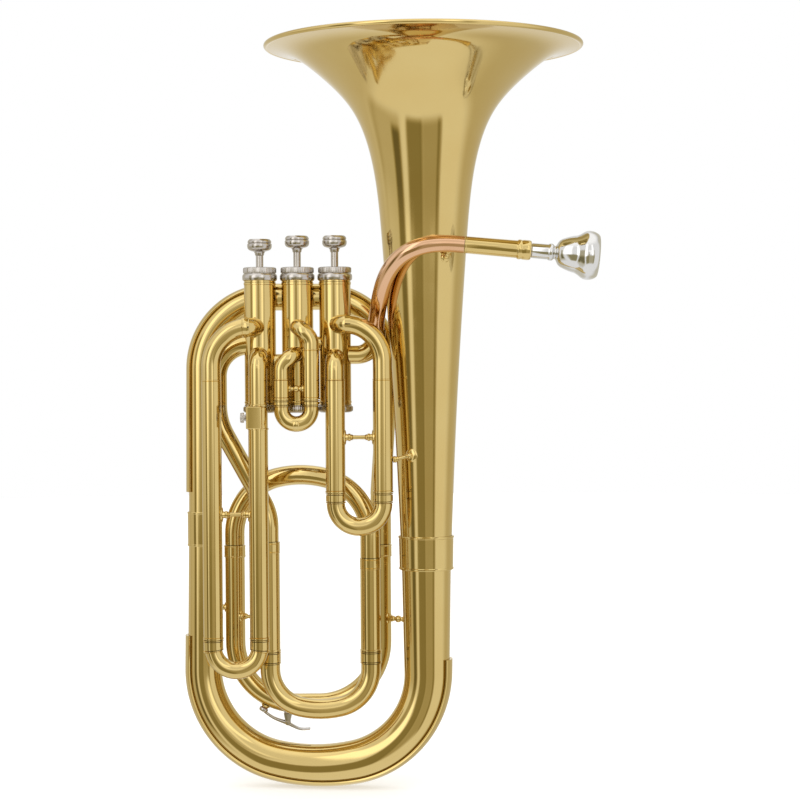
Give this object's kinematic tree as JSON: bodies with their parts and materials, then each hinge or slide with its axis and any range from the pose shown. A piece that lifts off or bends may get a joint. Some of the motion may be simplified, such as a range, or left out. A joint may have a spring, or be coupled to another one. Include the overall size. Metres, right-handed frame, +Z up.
{
  "type": "baritone horn",
  "caption": "Upright brass baritone horn with three piston valves, slides, rose brass leadpipe and silver mouthpiece.",
  "frame": {"origin": "lowest point of the bottom bow, midway between the legs of the bow, where a stand's cradle or the player's lap carries the horn", "axes": "+Z up towards the bell mouth, +X from the valves towards the bell and mouthpiece, +Y towards the back, where the top bow and the lower loop are"},
  "size_m": [0.2957, 0.226, 0.5299],
  "materials": {
    "lacquered_brass": "clear lacquer over polished yellow brass",
    "rose_brass": "clear lacquer over polished rose brass",
    "nickel": "polished nickel plate",
    "silver": "polished silver plate",
    "spring_steel": "bright spring wire",
    "felt": "pressed wool felt"
  },
  "bodies": {
    "horn": {"bell": "lacquered_brass", "bell_ferrule": "lacquered_brass", "bottom_bow": "lacquered_brass", "bottom_bow_guard": "lacquered_brass", "left_ferrule": "lacquered_brass", "top_bow": "lacquered_brass", "top_bow_guard": "lacquered_brass", "lower_loop": "lacquered_brass", "arch_tube": "lacquered_brass", "tuning_sleeve_left": "lacquered_brass", "tuning_sleeve_right": "lacquered_brass", "s_tube": "lacquered_brass", "casing_1": "lacquered_brass", "casing_2": "lacquered_brass", "casing_3": "lacquered_brass", "top_cap_1": "nickel", "top_cap_2": "nickel", "top_cap_3": "nickel", "bottom_cap_1": "nickel", "bottom_cap_2": "nickel", "bottom_cap_3": "nickel", "spring_1": "spring_steel", "spring_2": "spring_steel", "spring_3": "spring_steel", "port_tube_12": "lacquered_brass", "port_tube_23": "lacquered_brass", "slide_tube_1_upper": "lacquered_brass", "slide_tube_1_lower": "lacquered_brass", "slide_tube_2_upper": "lacquered_brass", "slide_tube_2_lower": "lacquered_brass", "slide_tube_3_upper": "lacquered_brass", "slide_tube_3_lower": "lacquered_brass", "brace_1": "lacquered_brass", "brace_2": "lacquered_brass", "brace_3": "lacquered_brass", "leadpipe": "rose_brass", "elbow": "lacquered_brass", "receiver": "lacquered_brass", "lyre_holder": "lacquered_brass", "water_key_saddle": "nickel", "bow_stay": "lacquered_brass", "loop_stay": "lacquered_brass", "bell_stay": "lacquered_brass", "leadpipe_stay": "lacquered_brass"},
    "valve_1": {"piston_1": "nickel", "button_1": "nickel", "felt_1": "felt"},
    "valve_2": {"piston_2": "nickel", "button_2": "nickel", "felt_2": "felt"},
    "valve_3": {"piston_3": "nickel", "button_3": "nickel", "felt_3": "felt"},
    "tuning_slide": {"tuning_crook": "lacquered_brass"},
    "slide_1": {"slide_crook_1": "lacquered_brass"},
    "slide_2": {"slide_crook_2": "lacquered_brass"},
    "slide_3": {"slide_crook_3": "lacquered_brass"},
    "water_key": {"water_key_lever": "nickel"},
    "mouthpiece": {"mouthpiece": "silver"},
    "lyre_screw": {"lyre_screw": "nickel"}
  },
  "joints": [
    {"name": "valve_1_press", "type": "slide", "parent": "horn", "child": "valve_1", "axis": [0, 0, -1], "range_m": [0, 0.012], "stiffness_N_per_m": 250, "springref_m": -0.01, "deforming": ["spring_1"]},
    {"name": "valve_2_press", "type": "slide", "parent": "horn", "child": "valve_2", "axis": [0, 0, -1], "range_m": [0, 0.012], "stiffness_N_per_m": 250, "springref_m": -0.01, "deforming": ["spring_2"]},
    {"name": "valve_3_press", "type": "slide", "parent": "horn", "child": "valve_3", "axis": [0, 0, -1], "range_m": [0, 0.0105], "stiffness_N_per_m": 250, "springref_m": -0.01, "deforming": ["spring_3"]},
    {"name": "tuning_slide_pull", "type": "slide", "parent": "horn", "child": "tuning_slide", "axis": [0, 0, -1], "range_m": [0, 0.016]},
    {"name": "slide_1_pull", "type": "slide", "parent": "horn", "child": "slide_1", "axis": [0, 0, -1], "range_m": [0, 0.045]},
    {"name": "slide_2_pull", "type": "slide", "parent": "horn", "child": "slide_2", "axis": [0, 0, -1], "range_m": [0, 0.01]},
    {"name": "slide_3_pull", "type": "slide", "parent": "horn", "child": "slide_3", "axis": [0, 0, -1], "range_m": [0, 0.06]},
    {"name": "water_key_press", "type": "hinge", "parent": "horn", "child": "water_key", "pos_m": [-0.0203, 0.011, 0.04454], "axis": [0, -1, 0], "range_deg": [0, 7], "stiffness_Nm_per_rad": 0.02, "springref_deg": -17.19},
    {"name": "mouthpiece_pull", "type": "slide", "parent": "horn", "child": "mouthpiece", "axis": [0.9957, 0, -0.0924], "range_m": [0, 0.02]},
    {"name": "lyre_screw_turn", "type": "hinge", "parent": "horn", "child": "lyre_screw", "pos_m": [-0.0419, -0.04195, 0.26694], "axis": [-1, 0, 0], "continuous": true}
  ]
}
